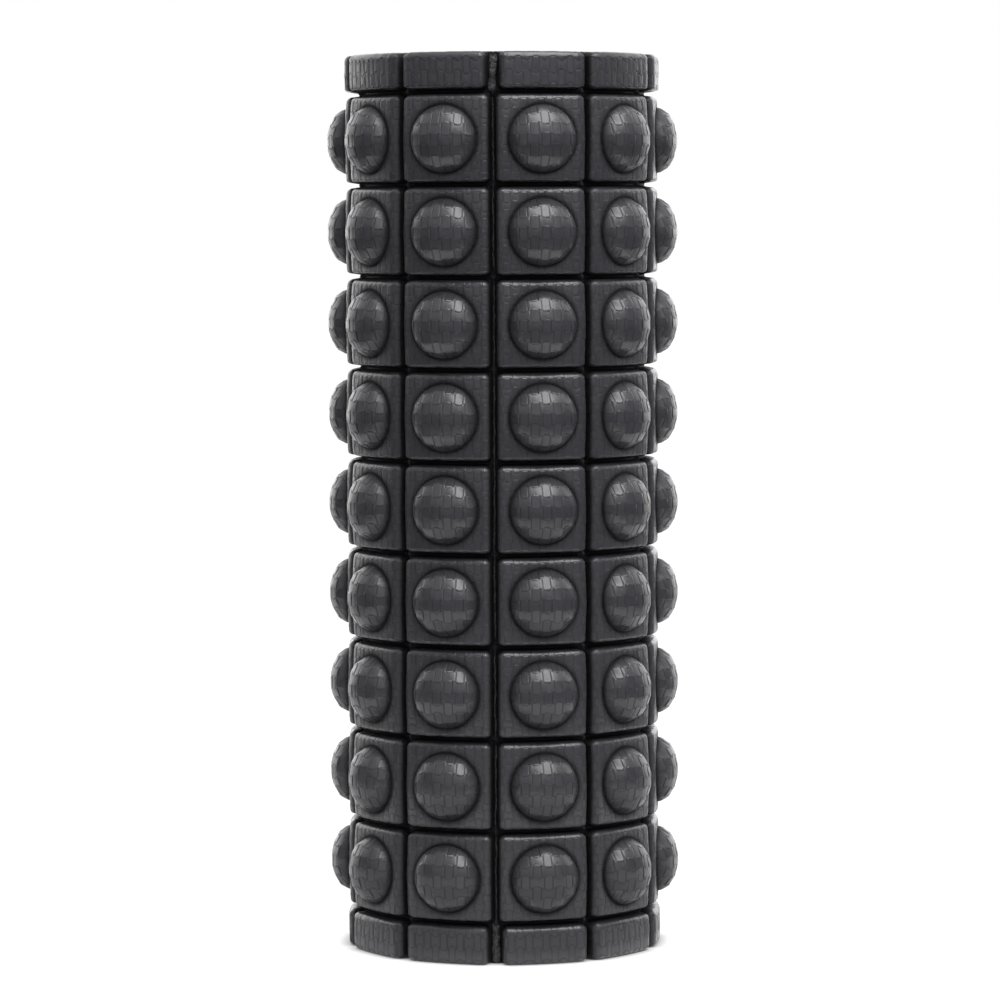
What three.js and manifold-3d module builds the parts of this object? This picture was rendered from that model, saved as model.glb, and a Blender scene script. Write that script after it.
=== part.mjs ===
// Textured foam roller: one moulded foam mat of studded blocks, wrapped once round a rigid
// hollow tube and closed by a bead of adhesive in the groove where its two edges meet.
// Millimetres, +Z up. The roller stands on its end, with the origin at the centre of the
// bottom face, and the joint of the mat faces -Y.

import Module from 'manifold-3d';
import * as THREE from 'three';
import { mergeVertices } from 'three/addons/utils/BufferGeometryUtils.js';

const wasm = await Module();
wasm.setup();

// The length, and the pattern: columns of blocks round the roller, and rows of studded
// blocks between two plain end rows, whose heights run to the middle of the first groove.
const rollerLength = 330;
const columnCount = 10;
const studRowCount = 9;
const bottomRowHeight = 14.8;
const topRowHeight = 13.7;

// The tube
const tubeBore = 84;
const tubeWall = 3;
const tubeRimChamfer = 0.6;

// The clearance that the adhesive fills, between the mat and the tube and under the bead
const glueLine = 0.3;

// The mat: its backing, and the blocks that rise from it
const backingThickness = 7.5;
const blockRise = 5.5;
const blockEdgeBevel = 1.5;
const blockCornerCut = 1.5;
const grooveWidth = 2.2;
const jointGrooveWidth = 3.6;
const jointGap = 0.4;

// The studs: a ledge of the block's face is left all round each one
const studLedge = 2.15;
const studHeight = 6.8;

// The bead of adhesive in the joint's groove
const beadSideGap = 0.8;
const beadHeight = 0.9;
const beadEndGap = 0.5;

// How finely the round forms are stepped
const tubeSides = 60;
const studSides = 10;
const studRings = 3;
const beadCurveSteps = 6;

// Sizes that follow from the ones above
const tubeRadius = tubeBore / 2 + tubeWall;
const backRadius = tubeRadius + glueLine;
const floorRadius = backRadius + backingThickness;
const faceRadius = floorRadius + blockRise;
const rowPitch = (rollerLength - bottomRowHeight - topRowHeight) / studRowCount;
const columnPitch = (2 * Math.PI * faceRadius) / columnCount;
const matSpan = columnCount * columnPitch;

// The end rows are moulded longer by this much, and their ends are trimmed off
const trimAllowance = grooveWidth / 2 + blockEdgeBevel + blockCornerCut;

// Places on the mat are given flat: arc is the way along it, measured at the block faces from
// the joint, and rise is the height over the groove floor. This bends a place round the tube.
function wrap({ arc, z, rise }) {
  const turn = arc / faceRadius - Math.PI / 2;
  const radius = floorRadius + rise;
  return new THREE.Vector3(radius * Math.cos(turn), radius * Math.sin(turn), z);
}

// Fills the strip between two lines of places. Each place has an order, and the line whose
// next place comes first in that order takes the next step. The strip faces the side from
// which the second line lies to the left of the first.
function addStrip(corners, first, second) {
  let i = 0;
  let j = 0;
  while (i < first.length - 1 || j < second.length - 1) {
    const firstOrder = i < first.length - 1 ? first[i + 1].order : Infinity;
    const secondOrder = j < second.length - 1 ? second[j + 1].order : Infinity;
    if (firstOrder <= secondOrder) {
      corners.push(wrap(first[i]), wrap(first[i + 1]), wrap(second[j]));
      i += 1;
    } else {
      corners.push(wrap(first[i]), wrap(second[j + 1]), wrap(second[j]));
      j += 1;
    }
  }
}

// Puts the places of a loop in order of their turn about a centre, and closes the loop.
function closeLoop(places, centre) {
  const loop = places.map((place) => {
    const turn = Math.atan2(place.z - centre.z, place.arc - centre.arc);
    return { ...place, order: turn };
  });
  loop.sort((a, b) => a.order - b.order);
  loop.push({ ...loop[0], order: loop[0].order + 2 * Math.PI });
  return loop;
}

// A rectangle with its corners cut, as a loop of places at one rise. The long way round the
// roller has a place in the middle, so that the rectangle bends with the tube.
function outlineLoop({ left, right, bottom, top }, rise, inset, cut, centre) {
  const middle = (left + right) / 2;
  const places = [];
  for (const [edge, inward] of [[bottom + inset, 1], [top - inset, -1]]) {
    places.push({ arc: middle, z: edge, rise });
    for (const [side, across] of [[left + inset, 1], [right - inset, -1]]) {
      places.push({ arc: side + across * cut, z: edge, rise });
      if (cut > 0) {
        places.push({ arc: side, z: edge + inward * cut, rise });
      }
    }
  }
  return closeLoop(places, centre);
}

// The rings of a domed stud, from its foot to just under its crown, and the crown itself.
function studLoops(radius, centre) {
  const sphereRadius = (radius ** 2 + studHeight ** 2) / (2 * studHeight);
  const footTurn = Math.atan2(radius, sphereRadius - studHeight);
  const loops = [];
  for (let ring = studRings; ring > 0; ring -= 1) {
    const polar = (footTurn * ring) / studRings;
    const reach = sphereRadius * Math.sin(polar);
    const lift = sphereRadius * (Math.cos(polar) - Math.cos(footTurn));
    const places = [];
    for (let side = 0; side < studSides; side += 1) {
      const turn = (2 * Math.PI * side) / studSides;
      const arc = centre.arc + reach * Math.cos(turn);
      places.push({ arc, z: centre.z + reach * Math.sin(turn), rise: blockRise + lift });
    }
    loops.push(closeLoop(places, centre));
  }
  loops.push([{ ...centre, rise: blockRise + studHeight }]);
  return loops;
}

// One cell of the pattern, lofted from the groove floor at its border, up the walls of its
// block, over the bevelled edge and the face, and up the stud if it has one.
function addCell(corners, cell, block, hasStud) {
  const centre = { arc: (block.left + block.right) / 2, z: (block.bottom + block.top) / 2 };
  const loops = [
    outlineLoop(cell, 0, 0, 0, centre),
    outlineLoop(block, 0, 0, 0, centre),
    outlineLoop(block, blockRise - blockEdgeBevel, 0, blockCornerCut, centre),
    outlineLoop(block, blockRise, blockEdgeBevel, blockCornerCut, centre),
  ];
  if (hasStud) {
    const halfFace = Math.min(columnPitch, rowPitch) / 2 - grooveWidth / 2 - blockEdgeBevel;
    loops.push(...studLoops(halfFace - studLedge, centre));
  } else {
    loops.push([{ ...centre, rise: blockRise }]);
  }
  for (let level = 0; level < loops.length - 1; level += 1) {
    addStrip(corners, loops[level], loops[level + 1]);
  }
}

// The borders between rows, from below the bottom face to above the top one.
function rowBorders() {
  const borders = [-trimAllowance];
  for (let row = 0; row <= studRowCount; row += 1) {
    borders.push(bottomRowHeight + row * rowPitch);
  }
  borders.push(rollerLength + trimAllowance);
  return borders;
}

// The borders between columns. The first and the last are the mat's two glued edges.
function columnBorders() {
  const borders = [jointGap / 2];
  for (let column = 1; column < columnCount; column += 1) {
    borders.push(column * columnPitch);
  }
  borders.push(matSpan - jointGap / 2);
  return borders;
}

// A closed solid for joining and cutting, from a closed mesh.
function toSolid(geometry) {
  geometry.deleteAttribute('normal');
  geometry.deleteAttribute('uv');
  const merged = mergeVertices(geometry);
  const vertProperties = new Float32Array(merged.attributes.position.array);
  const triVerts = new Uint32Array(merged.index.array);
  return new wasm.Manifold(new wasm.Mesh({ numProp: 3, vertProperties, triVerts }));
}

// A mesh from a cut solid.
function toGeometry(solid) {
  const { vertProperties, triVerts } = solid.getMesh();
  const geometry = new THREE.BufferGeometry();
  geometry.setAttribute('position', new THREE.BufferAttribute(vertProperties, 3));
  geometry.setIndex(new THREE.BufferAttribute(triVerts, 1));
  geometry.computeVertexNormals();
  return geometry;
}

// The mat before its ends are trimmed: the cells outside, and then the back, the two ends and
// the two glued edges, each a strip between the outer border and the back.
function mouldedMat() {
  const corners = [];
  const rows = rowBorders();
  const columns = columnBorders();
  for (let row = 0; row < rows.length - 1; row += 1) {
    for (let column = 0; column < columnCount; column += 1) {
      const left = columns[column];
      const right = columns[column + 1];
      const cell = { left, right, bottom: rows[row], top: rows[row + 1] };
      const leftGroove = column === 0 ? jointGrooveWidth - jointGap : grooveWidth;
      const rightGroove = column === columnCount - 1 ? jointGrooveWidth - jointGap : grooveWidth;
      const block = {
        left: left + leftGroove / 2,
        right: right - rightGroove / 2,
        bottom: cell.bottom + grooveWidth / 2,
        top: cell.top - grooveWidth / 2,
      };
      addCell(corners, cell, block, row > 0 && row <= studRowCount);
    }
  }

  const outerArcs = [columns[0]];
  for (let column = 0; column < columnCount; column += 1) {
    outerArcs.push((columns[column] + columns[column + 1]) / 2, columns[column + 1]);
  }
  const backArcs = [];
  for (let side = 0; side <= tubeSides; side += 1) {
    backArcs.push(jointGap / 2 + ((matSpan - jointGap) * side) / tubeSides);
  }
  const bottom = rows[0];
  const top = rows[rows.length - 1];
  const ring = (arcs, z, rise) => arcs.map((arc) => ({ arc, z, rise, order: arc }));
  const edge = (heights, arc, rise) => heights.map((z) => ({ arc, z, rise, order: z }));
  const back = -backingThickness;
  const start = columns[0];
  const end = columns[columnCount];
  addStrip(corners, ring(backArcs, top, back), ring(backArcs, bottom, back));
  addStrip(corners, ring(outerArcs, top, 0), ring(backArcs, top, back));
  addStrip(corners, ring(backArcs, bottom, back), ring(outerArcs, bottom, 0));
  addStrip(corners, edge(rows, start, 0), edge([bottom, top], start, back));
  addStrip(corners, edge([bottom, top], end, back), edge(rows, end, 0));
  return new THREE.BufferGeometry().setFromPoints(corners);
}

// A profile of radius and height, turned about the Z axis. A turn starts at -Y.
function revolve(profile, sides) {
  const points = profile.map(([radius, height]) => new THREE.Vector2(radius, height));
  return new THREE.LatheGeometry(points, sides).rotateX(Math.PI / 2);
}

// The mat is kept inside this turned form, which ends flush with the tube and bevels the rim
// of the end blocks as their other edges are.
function trimForm() {
  const rimRadius = faceRadius - blockEdgeBevel;
  const wideRadius = faceRadius + studHeight + trimAllowance;
  const slope = wideRadius - rimRadius;
  const profile = [
    [0, 0],
    [rimRadius, 0],
    [wideRadius, slope],
    [wideRadius, rollerLength - slope],
    [rimRadius, rollerLength],
    [0, rollerLength],
  ];
  return revolve(profile, 2 * columnCount);
}

function foamMat() {
  const solid = toSolid(mouldedMat()).intersect(toSolid(trimForm()));
  const material = new THREE.MeshStandardMaterial({ color: 0x3b3a3e, roughness: 0.62, metalness: 0 });
  const mesh = new THREE.Mesh(toGeometry(solid), material);
  mesh.name = 'foam_mat';
  return mesh;
}

// The tube, with both rims chamfered inside and out.
function coreTube() {
  const bore = tubeBore / 2;
  const profile = [
    [bore + tubeRimChamfer, 0],
    [tubeRadius - tubeRimChamfer, 0],
    [tubeRadius, tubeRimChamfer],
    [tubeRadius, rollerLength - tubeRimChamfer],
    [tubeRadius - tubeRimChamfer, rollerLength],
    [bore + tubeRimChamfer, rollerLength],
    [bore, rollerLength - tubeRimChamfer],
    [bore, tubeRimChamfer],
    [bore + tubeRimChamfer, 0],
  ];
  const material = new THREE.MeshStandardMaterial({ color: 0x232326, roughness: 0.42, metalness: 0 });
  const mesh = new THREE.Mesh(revolve(profile, tubeSides), material);
  mesh.name = 'core_tube';
  return mesh;
}

// The bead: a low crowned strip that lies on the floor of the joint's groove.
function jointBead() {
  const halfWidth = jointGrooveWidth / 2 - beadSideGap;
  const section = new THREE.Shape();
  section.moveTo(halfWidth, 0);
  section.bezierCurveTo(halfWidth, -beadHeight, -halfWidth, -beadHeight, -halfWidth, 0);
  section.closePath();
  const depth = rollerLength - 2 * beadEndGap;
  const geometry = new THREE.ExtrudeGeometry(section, {
    depth,
    bevelEnabled: false,
    curveSegments: beadCurveSteps,
  });
  const material = new THREE.MeshStandardMaterial({ color: 0x4a484a, roughness: 0.5, metalness: 0 });
  const mesh = new THREE.Mesh(geometry, material);
  mesh.name = 'joint_bead';
  mesh.position.set(0, -floorRadius - glueLine, beadEndGap);
  return mesh;
}

const group = new THREE.Group();
group.add(coreTube(), foamMat(), jointBead());

export default group;
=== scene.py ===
"""A textured foam roller that stands on its end: a moulded mat of studded blocks with a basket
weave pressed into its skin, wrapped once round a plastic tube and glued along one groove.

The mat is worked out flat, block by block, and then bent round the tube. On each block, u runs
round the roller and v runs up it, both measured along the skin from the middle of the block, so
that they are also places in the pressed weave. Shapes are in millimetres until add_mesh.
"""

import math
from types import SimpleNamespace

import bpy
import numpy as np
from mathutils import Matrix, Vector
from mathutils.geometry import delaunay_2d_cdt


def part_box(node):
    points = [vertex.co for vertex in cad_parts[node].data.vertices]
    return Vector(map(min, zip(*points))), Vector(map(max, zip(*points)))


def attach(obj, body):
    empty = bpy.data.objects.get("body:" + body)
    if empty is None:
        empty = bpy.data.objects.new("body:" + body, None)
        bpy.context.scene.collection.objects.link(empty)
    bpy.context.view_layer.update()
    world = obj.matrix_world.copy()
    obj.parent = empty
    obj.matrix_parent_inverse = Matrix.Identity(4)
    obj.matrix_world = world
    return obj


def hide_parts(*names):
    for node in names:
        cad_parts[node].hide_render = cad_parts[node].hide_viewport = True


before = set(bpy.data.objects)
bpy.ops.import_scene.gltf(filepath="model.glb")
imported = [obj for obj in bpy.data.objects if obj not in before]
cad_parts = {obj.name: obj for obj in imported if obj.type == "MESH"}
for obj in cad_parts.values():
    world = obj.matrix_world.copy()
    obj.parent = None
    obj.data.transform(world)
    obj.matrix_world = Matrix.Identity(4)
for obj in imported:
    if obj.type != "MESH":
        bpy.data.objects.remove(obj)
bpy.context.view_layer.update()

MM = 0.001
GLUE_LINE = 0.3
BACK_CLEARANCE = 0.05

# Keeps a division by zero from failing
TINY = 1e-9

mat_low, mat_high = (np.array(corner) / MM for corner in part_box("foam_mat"))
tube_high = np.array(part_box("core_tube")[1]) / MM
bead_high = np.array(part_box("joint_bead")[1]) / MM

# The roller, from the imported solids
ROLLER_LENGTH = mat_high[2] - mat_low[2]
TUBE_RADIUS = tube_high[0]
BACK_RADIUS = TUBE_RADIUS + BACK_CLEARANCE
FLOOR_RADIUS = -bead_high[1] - GLUE_LINE
BLOCK_RISE = 5.5
FACE_RADIUS = FLOOR_RADIUS + BLOCK_RISE
STUD_HEIGHT = mat_high[0] - FACE_RADIUS
TUBE_WALL = 3.0

# The pattern of blocks
COLUMN_COUNT = 10
STUD_ROW_COUNT = 9
LAST_ROW = STUD_ROW_COUNT + 1
BOTTOM_ROW_HEIGHT = 14.8
TOP_ROW_HEIGHT = 13.7
JOINT_GAP = 0.4
TOP_RISE = 0.6
COLUMN_PITCH = 2 * math.pi * FACE_RADIUS / COLUMN_COUNT
ROW_PITCH = (ROLLER_LENGTH - BOTTOM_ROW_HEIGHT - TOP_ROW_HEIGHT) / STUD_ROW_COUNT

# Half of a groove's section
FLOOR_HALF = 0.15
FLOOR_FILLET = 0.45
WALL_DRAFT = math.radians(8)
EDGE_RADIUS = 2.0
CORNER_RADIUS = 2.5
ARC_STEPS = 9

# How much wider a groove's floor and the rounding of a block's edge are than the plain ones, on
# each kind of side
FLOOR_EXTRA = {"joint": 0.15, "end_joint": 1.4}
EDGE_EXTRA = {"low": -0.75, "high": 0.0, "side": 1.7, "joint": 0.6, "end_joint": 0.4}

# How much of a block's bend round the tube is missing, because it was moulded flat
FACE_FLATNESS = 0.4

# How much a block's face falls away up and down from its middle, per millimetre squared
FACE_PILLOW = 0.0032

# The studs
CREASE_RADIUS = 12.15
STUD_STRETCH = 1.27
STUD_DROP = 0.3
STUD_WIDENING = 0.035
STUD_WIDENING_REACH = 17.4
STUD_FOOT = math.radians(88)
STUD_STEPS = 60
CREASE_DEPTH = 0.5
CREASE_WIDTH = 0.9
CREASE_FADE = 2.2

# Where four blocks meet, the foam of the groove's floor is pinched up
PINCH_RISE = 1.6
PINCH_REACH = 0.8
PINCH_RAY_HALF = 0.25
PINCH_RAY_UP = 1.9
PINCH_RAY_ROUND = 0.9

# The weave: flat ribbons, upright ones over lying ones and the other way round by turns
HALF_PERIOD = 3.25
PICK = 3.2
PLAIN_ROW_PICK = 4.75
UPRIGHT_HALF_WIDTH = 1.12
UPRIGHT_HALF_HEIGHT = PICK / 2 + 0.57
RIBBON_CORNER = 0.7
STUD_LINE_HALF = 0.2
FACE_LINE_HALF = 0.25
STUD_LINE_DEPTH = 0.1
FACE_LINE_DEPTH = 0.11
PIT_RADIUS = 0.34
PIT_SIDES = 6
RIBBON_TILT = 0.03
FACET_FLATNESS = 0.3
FACET_LIMIT = 0.5
FACET_MARGIN = 0.8

# Where the middle of each block of a row lies in the weave
STUD_PHASE = (0.45, 1.88)
END_PHASES = {0: (0.35, 0.75), LAST_ROW: (-0.05, 3.67)}
WEAVE_FADE = 0.7

# How much painted shade darkens grooves, weave lines and creases, where little light reaches
# the foam. Each pair is the rise up to which a groove is fully dark and the rise where it is light.
LEVEL_GROOVE_DARK = (1.0, 3.7)
UPRIGHT_GROOVE_DARK = (3.0, 5.8)
PINCH_LIGHT = 0.6
LINE_DARK = 0.35
CREASE_DARK = 0.95
CREASE_SHADE = 1.35

# The unevenness of moulded foam. Each wave is its height, its length and a seed.
FOAM_WAVES = ((0.035, 26, 21), (0.012, 6, 22))
RIPPLE_WAVES = 7
RIPPLE_LENGTHS = (0.7, 1.4)

# What scatters the ribbons' chances
CHANCE_FACTORS = (127.1, 311.7, 74.7)
CHANCE_SPREAD = 43758.5453


def smooth_step(x):
    x = np.clip(x, 0, 1)
    return x * x * (3 - 2 * x)


def polar(radius, angle, height):
    """Places at a radius and an angle round the roller's axis, and at a height."""
    return np.stack(np.broadcast_arrays(radius * np.cos(angle), radius * np.sin(angle), height), -1)


def way_along(x, y):
    """How far it is along a line of points to each of them."""
    return np.concatenate([[0], np.cumsum(np.hypot(np.diff(x), np.diff(y)))])


def groove_section():
    """Half of a groove's section, as the way along the skin from the middle of its floor, the
    inset from there in the flat, and the rise over the floor."""
    turn = np.linspace(0, math.pi / 2 - WALL_DRAFT, ARC_STEPS)
    foot_inset = FLOOR_HALF + FLOOR_FILLET * np.sin(turn)
    foot_rise = FLOOR_FILLET * (1 - np.cos(turn))
    wall_top_rise = BLOCK_RISE - EDGE_RADIUS * (1 - math.sin(WALL_DRAFT))
    wall = (wall_top_rise - foot_rise[-1]) / math.cos(WALL_DRAFT)
    turn = np.linspace(WALL_DRAFT, math.pi / 2, ARC_STEPS)
    centre = foot_inset[-1] + wall * math.sin(WALL_DRAFT) + EDGE_RADIUS * math.cos(WALL_DRAFT)
    edge_inset = centre - EDGE_RADIUS * np.cos(turn)
    edge_rise = BLOCK_RISE - EDGE_RADIUS * (1 - np.sin(turn))
    inset = np.concatenate([[0], foot_inset, edge_inset, [centre + COLUMN_PITCH]])
    rise = np.concatenate([[0], foot_rise, edge_rise, [BLOCK_RISE]])
    way = way_along(inset, rise)
    top = ARC_STEPS + 1
    corner = way[-2] + FLOOR_HALF + FLOOR_FILLET + CORNER_RADIUS - inset[-2]
    return SimpleNamespace(
        way=way, inset=inset, rise=rise, floor=way[1], foot=way[top - 1], top=way[top],
        top_inset=inset[top], middle=(way[top - 1] + way[top]) / 2, face=way[-2], corner=corner,
    )


section = groove_section()


def inset_at(way, kind):
    """The inset in the flat, for a kind of side: a block's low or high side, one of its other
    two sides, a side on the glued joint, or an end of the roller."""
    inset = np.interp(way, section.way, section.inset)
    if kind == "end":
        return np.maximum(inset - section.top_inset, 0)
    floor = np.clip(way / section.foot, 0, 1)
    edge = smooth_step((way - section.top) / (section.face - section.top))
    return inset + FLOOR_EXTRA.get(kind, 0) * floor + EDGE_EXTRA[kind] * edge


def make_cell(sides, kinds, stud, phase, stretch):
    """One block with its share of the grooves. Sides and kinds are left, right, bottom, top. At
    an end of the roller the skin has no groove floor, so it starts further up."""
    left, right, bottom, top = sides
    walls = [inset_at(section.middle, kind) for kind in kinds]
    drop = STUD_DROP if stud else 0
    centre = (
        (left + right + walls[0] - walls[1]) / 2,
        (bottom + top + walls[2] - walls[3]) / 2 - drop,
    )
    spans = [centre[0] - left, right - centre[0], centre[1] - bottom, top - centre[1]]
    reach = [section.face + span - inset_at(section.face, kind) for span, kind in zip(spans, kinds)]
    starts = [section.foot if kind == "end" else 0.0 for kind in kinds]
    low = (-reach[0] + starts[0], -reach[2] + starts[2])
    high = (reach[1] - starts[1], reach[3] - starts[3])
    return SimpleNamespace(
        kinds=kinds, centre=centre, spans=spans, reach=reach, starts=starts, low=low, high=high,
        floor=bottom, ceiling=top, stud=stud, phase=phase, stretch=stretch,
    )


def stud_form(r):
    """For a fabric radius round a stud's middle: the radius in the flat and the lift."""
    turn = np.linspace(0, STUD_FOOT, STUD_STEPS)
    curve_flat = CREASE_RADIUS * np.sin(turn) / math.sin(STUD_FOOT)
    curve_lift = STUD_HEIGHT * (np.cos(turn) - math.cos(STUD_FOOT)) / (1 - math.cos(STUD_FOOT))
    along = way_along(curve_flat, curve_lift)
    slowing = (STUD_STRETCH * CREASE_RADIUS - along[-1]) / CREASE_RADIUS**3
    inner = np.minimum(r, CREASE_RADIUS)
    way = STUD_STRETCH * inner - slowing * inner**3
    inside = r < CREASE_RADIUS
    flat = np.where(inside, np.interp(way, along, curve_flat), r)
    lift = np.where(inside, np.interp(way, along, curve_lift), 0)
    return flat, lift - CREASE_DEPTH * np.exp(-(((flat - CREASE_RADIUS) / CREASE_WIDTH) ** 2))


def ways(cell, u, v):
    """How far along the skin each place is from the nearest groove on either axis."""
    across = np.maximum(np.where(u < 0, u + cell.reach[0], cell.reach[1] - u), 0)
    along = np.maximum(np.where(v < 0, v + cell.reach[2], cell.reach[3] - v), 0)
    return across, along


def flat_place(cell, u, v):
    """Where a place lies in the flat from the block's middle, and the way up to its ring. Rings
    run round the block and turn its corners on an arc."""
    way_u, way_v = ways(cell, u, v)
    low_u, low_v = u < 0, v < 0

    def insets(along_u, along_v):
        left, right = (inset_at(along_u, kind) for kind in cell.kinds[:2])
        lower, upper = (inset_at(along_v, kind) for kind in cell.kinds[2:])
        return np.where(low_u, left, right), np.where(low_v, lower, upper)

    inset_u, inset_v = insets(way_u, way_v)
    ring = np.minimum(way_u, way_v)
    on_u = way_u <= way_v
    starts = np.where(low_u, *cell.starts[:2]), np.where(low_v, *cell.starts[2:])
    first = np.maximum(ring, np.where(on_u, starts[1], starts[0]))
    share = np.clip((np.maximum(way_u, way_v) - first) / (section.corner - first + TINY), 0, 1)
    turn = math.pi / 4 * (1 - share)
    near, far = np.cos(turn), np.sin(turn)
    ring_u, ring_v = insets(ring, ring)
    first_u, first_v = insets(first, first)
    corner_u, corner_v = insets(section.corner, section.corner)
    round_u = corner_u - (corner_u - ring_u) * np.where(on_u, near, far)
    round_v = corner_v - (corner_v - ring_v) * np.where(on_u, far, near)
    sharp_u = np.where(on_u, ring_u, first_u + share * (corner_u - first_u))
    sharp_v = np.where(on_u, first_v + share * (corner_v - first_v), ring_v)
    roundness = smooth_step(ring / section.foot)
    in_corner = (way_u < section.corner) & (way_v < section.corner)
    inset_u = np.where(in_corner, sharp_u + roundness * (round_u - sharp_u), inset_u)
    inset_v = np.where(in_corner, sharp_v + roundness * (round_v - sharp_v), inset_v)
    x = np.where(low_u, inset_u - cell.spans[0], cell.spans[1] - inset_u)
    z = np.where(low_v, inset_v - cell.spans[2], cell.spans[3] - inset_v)
    return x, z, ring, inset_u, inset_v


def pinch(inset_u, inset_v):
    """The rise of the groove's floor where grooves cross: a peak with a thin ray down each groove."""
    peak = np.exp(-((inset_u**2 + inset_v**2) / PINCH_REACH**2))
    up = np.exp(-((inset_u / PINCH_RAY_HALF) ** 2) - inset_v / PINCH_RAY_UP)
    round_it = np.exp(-((inset_v / PINCH_RAY_HALF) ** 2) - inset_u / PINCH_RAY_ROUND)
    return PINCH_RISE * np.maximum(peak, np.maximum(up, round_it))


def skin_place(cell, u, v):
    """Where a place of the skin lies on the roller, before the weave is pressed into it."""
    x, z, ring, inset_u, inset_v = flat_place(cell, u, v)
    rise = np.interp(ring, section.way, section.rise)
    at_end = np.where(v < 0, cell.kinds[2] == "end", cell.kinds[3] == "end")
    rise = np.maximum(rise, pinch(inset_u, inset_v) * (1 - at_end))
    lift = np.zeros_like(rise)
    if cell.stud:
        r = np.hypot(u, v)
        flat, lift = stud_form(r)
        scale = np.where(r < CREASE_RADIUS, flat / np.maximum(r, TINY), 1)
        near = smooth_step((STUD_WIDENING_REACH - r) / (STUD_WIDENING_REACH - CREASE_RADIUS))
        x, z = x * scale * (1 + STUD_WIDENING * near), z * scale
    flatter = FACE_FLATNESS * (x**2 - (COLUMN_PITCH / 2) ** 2 / 3) / (2 * FACE_RADIUS)
    pillow = FACE_PILLOW * ((ROW_PITCH / 2) ** 2 / 3 - z**2)
    flatter = (flatter + pillow) * rise / BLOCK_RISE
    angle = (cell.centre[0] + x * FACE_RADIUS / (FACE_RADIUS + np.maximum(lift, 0))) / FACE_RADIUS
    angle = angle - math.pi / 2
    radius = FLOOR_RADIUS + rise + lift + flatter
    return polar(radius, angle, cell.centre[1] + z)


def skin_steps(cell, u, v, nudge):
    """The steps over a nudge to both sides of each place, on each axis."""
    step_u = skin_place(cell, u + nudge, v) - skin_place(cell, u - nudge, v)
    step_v = skin_place(cell, u, v + nudge) - skin_place(cell, u, v - nudge)
    return step_u, step_v


def chance(i, j, salt):
    """A repeatable number from -1 to 1 for each ribbon."""
    x = i * CHANCE_FACTORS[0] + j * CHANCE_FACTORS[1] + salt * CHANCE_FACTORS[2]
    x = np.sin(x) * CHANCE_SPREAD
    return 2 * (x - np.floor(x)) - 1


def unwoven(cell, a, b):
    """The u and v of a place in the fabric."""
    return a - cell.phase[0], (b - cell.phase[1]) * cell.stretch


def on_stud(cell, u, v):
    return cell.stud & (np.hypot(u, v) < CREASE_RADIUS)


def line_half_at(cell, u, v):
    """Half the width of the line between two ribbons, which is finer on the studs."""
    return np.where(on_stud(cell, u, v), STUD_LINE_HALF, FACE_LINE_HALF)


def ribbon_at(a, b):
    """The ribbon at each fabric place: its middle, and the distance to its nearest edge, or to
    one of the pits where four ribbons meet."""
    station = np.round(a / HALF_PERIOD)
    row = 2 * np.round((b / PICK - 0.5 - station) / 2) + station
    across = np.abs(a - station * HALF_PERIOD) - (UPRIGHT_HALF_WIDTH - RIBBON_CORNER)
    along = np.abs(b - (row + 0.5) * PICK) - (UPRIGHT_HALF_HEIGHT - RIBBON_CORNER)
    outside = np.hypot(np.maximum(across, 0), np.maximum(along, 0))
    edge = outside + np.minimum(np.maximum(across, along), 0) - RIBBON_CORNER
    upright = edge < 0
    lying_row = np.floor(b / PICK)
    beside = station + np.where(a < station * HALF_PERIOD, -1, 1)
    lying_station = np.where((station + lying_row) % 2 == 1, station, beside)
    border = np.abs(b - np.round(b / PICK) * PICK)
    from_pit = a - (np.floor(a / HALF_PERIOD) + 0.5) * HALF_PERIOD
    pit = np.maximum(np.hypot(from_pit, border) - PIT_RADIUS, 0)
    middle_a = np.where(upright, station, lying_station) * HALF_PERIOD
    middle_b = (np.where(upright, row, lying_row) + 0.5) * PICK
    distance = np.where(upright, -edge, np.minimum(edge, border))
    return middle_a, middle_b, np.minimum(distance, pit)

def weave_at(cell, u, v):
    """The middle of each place's ribbon, the way from there along the skin, and how deep the
    place lies in a line of the weave: 0 to 1."""
    a = cell.phase[0] + u
    b = cell.phase[1] + v / cell.stretch
    middle_a, middle_b, distance = ribbon_at(a, b)
    line = np.clip(1 - distance / line_half_at(cell, u, v), 0, 1)
    return middle_a, middle_b, a - middle_a, (b - middle_b) * cell.stretch, line


def weave_share(ring):
    """How fully the weave is pressed in: 1 on the face, 0 down in the grooves."""
    return smooth_step((ring - section.top) / WEAVE_FADE + 1)


def facet_place(cell, u_middle, v_middle, from_u, from_v):
    """The place on the flat facet that touches the skin at a ribbon's middle."""
    step_u, step_v = skin_steps(cell, u_middle, v_middle, FACET_NUDGE)
    span = 2 * FACET_NUDGE
    middle = skin_place(cell, u_middle, v_middle)
    return middle + step_u / span * from_u[:, None] + step_v / span * from_v[:, None]


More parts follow.
